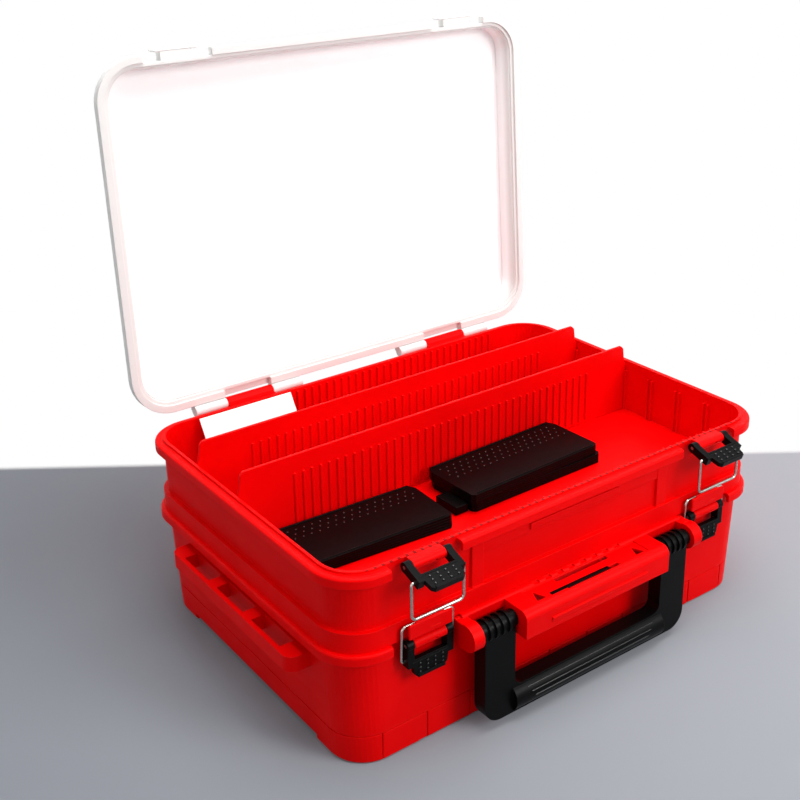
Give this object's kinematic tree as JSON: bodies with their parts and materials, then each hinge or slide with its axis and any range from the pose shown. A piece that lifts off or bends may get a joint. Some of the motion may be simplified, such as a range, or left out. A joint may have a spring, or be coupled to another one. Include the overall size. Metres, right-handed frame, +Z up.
{
  "type": "tackle case",
  "caption": "Portable two-tier fishing tackle case: deep lower case, hinged divided tray, milky lid, wire-bail latches and a folding carry handle, shown open.",
  "frame": {"origin": "centre of the lower case's footprint, on the surface it stands on", "axes": "+X along the width to the right as seen from the handle side, +Y from the handle side to the hinges, +Z up"},
  "size_m": [0.48, 0.3897, 0.4915],
  "materials": {
    "red_plastic": "satin injection-moulded plastic",
    "milky_plastic": "milky translucent plastic",
    "black_plastic": "fine satin plastic",
    "steel": "plain",
    "wire": "bright plated wire",
    "card": "matt, blank"
  },
  "bodies": {
    "lower_case": {"lower_case": "red_plastic", "handle_pin_left": "steel", "handle_pin_right": "steel", "tray_hinge_pin_left": "steel", "tray_hinge_pin_right": "steel", "lower_latch_pin_left": "steel", "lower_latch_pin_right": "steel"},
    "tray": {"tray": "red_plastic", "lid_hinge_pin_left": "steel", "lid_hinge_pin_right": "steel", "upper_latch_pin_left": "steel", "upper_latch_pin_right": "steel"},
    "lid": {"lid": "milky_plastic"},
    "carry_handle": {"carry_handle": "black_plastic"},
    "lower_lever_left": {"lower_lever_left": "black_plastic"},
    "lower_bail_left": {"lower_bail_left": "wire"},
    "upper_lever_left": {"upper_lever_left": "black_plastic"},
    "upper_bail_left": {"upper_bail_left": "wire"},
    "lower_lever_right": {"lower_lever_right": "black_plastic"},
    "lower_bail_right": {"lower_bail_right": "wire"},
    "upper_lever_right": {"upper_lever_right": "black_plastic"},
    "upper_bail_right": {"upper_bail_right": "wire"},
    "rear_divider": {"rear_divider": "red_plastic"},
    "front_divider": {"front_divider": "red_plastic"},
    "cross_dividers_left": {"cross_dividers_left": "black_plastic"},
    "cross_dividers_right": {"cross_dividers_right": "black_plastic"},
    "blank_card": {"blank_card": "card"}
  },
  "joints": [
    {"name": "tray_hinge", "type": "hinge", "parent": "lower_case", "child": "tray", "pos_m": [0, 0.1635, 0.103], "axis": [-1, 0, 0], "range_deg": [0, 92]},
    {"name": "lid_hinge", "type": "hinge", "parent": "tray", "child": "lid", "pos_m": [0, 0.1635, 0.168], "axis": [1, 0, 0], "range_deg": [0, 93.5]},
    {"name": "handle_swing", "type": "hinge", "parent": "lower_case", "child": "carry_handle", "pos_m": [0, -0.168, 0.091], "axis": [-1, 0, 0], "range_deg": [0, 100]},
    {"name": "lower_lever_left_swing", "type": "hinge", "parent": "lower_case", "child": "lower_lever_left", "pos_m": [-0.151, -0.157, 0.0985], "axis": [-1, 0, 0], "range_deg": [0, 70]},
    {"name": "lower_bail_left_swing", "type": "hinge", "parent": "lower_lever_left", "child": "lower_bail_left", "pos_m": [-0.151, -0.1555, 0.085], "axis": [1, 0, 0], "range_deg": [0, 248.1]},
    {"name": "upper_lever_left_swing", "type": "hinge", "parent": "tray", "child": "upper_lever_left", "pos_m": [-0.151, -0.157, 0.1645], "axis": [1, 0, 0], "range_deg": [0, 70]},
    {"name": "upper_bail_left_swing", "type": "hinge", "parent": "upper_lever_left", "child": "upper_bail_left", "pos_m": [-0.151, -0.16917, 0.15847], "axis": [-1, 0, 0], "range_deg": [0, 248.1]},
    {"name": "lower_lever_right_swing", "type": "hinge", "parent": "lower_case", "child": "lower_lever_right", "pos_m": [0.151, -0.157, 0.0985], "axis": [-1, 0, 0], "range_deg": [0, 70]},
    {"name": "lower_bail_right_swing", "type": "hinge", "parent": "lower_lever_right", "child": "lower_bail_right", "pos_m": [0.151, -0.1555, 0.085], "axis": [1, 0, 0], "range_deg": [0, 248.1]},
    {"name": "upper_lever_right_swing", "type": "hinge", "parent": "tray", "child": "upper_lever_right", "pos_m": [0.151, -0.157, 0.1645], "axis": [1, 0, 0], "range_deg": [0, 70]},
    {"name": "upper_bail_right_swing", "type": "hinge", "parent": "upper_lever_right", "child": "upper_bail_right", "pos_m": [0.151, -0.16917, 0.15847], "axis": [-1, 0, 0], "range_deg": [0, 248.1]},
    {"name": "rear_divider_lift", "type": "slide", "parent": "tray", "child": "rear_divider", "axis": [0, 0, -1], "range_m": [-0.09, 0]},
    {"name": "front_divider_lift", "type": "slide", "parent": "tray", "child": "front_divider", "axis": [0, 0, -1], "range_m": [-0.09, 0]},
    {"name": "cross_dividers_left_lift", "type": "slide", "parent": "tray", "child": "cross_dividers_left", "axis": [0, 0, -1], "range_m": [-0.09, 0]},
    {"name": "cross_dividers_right_lift", "type": "slide", "parent": "tray", "child": "cross_dividers_right", "axis": [0, 0, -1], "range_m": [-0.09, 0]},
    {"name": "blank_card_lift", "type": "slide", "parent": "tray", "child": "blank_card", "axis": [0, 0, -1], "range_m": [-0.09, 0]}
  ],
  "couplings": [
    {"joint": "lower_bail_left_swing", "follows": "lower_lever_left_swing", "ratio": 3.5441},
    {"joint": "upper_bail_left_swing", "follows": "upper_lever_left_swing", "ratio": 3.5441},
    {"joint": "lower_bail_right_swing", "follows": "lower_lever_right_swing", "ratio": 3.5441},
    {"joint": "upper_bail_right_swing", "follows": "upper_lever_right_swing", "ratio": 3.5441}
  ]
}
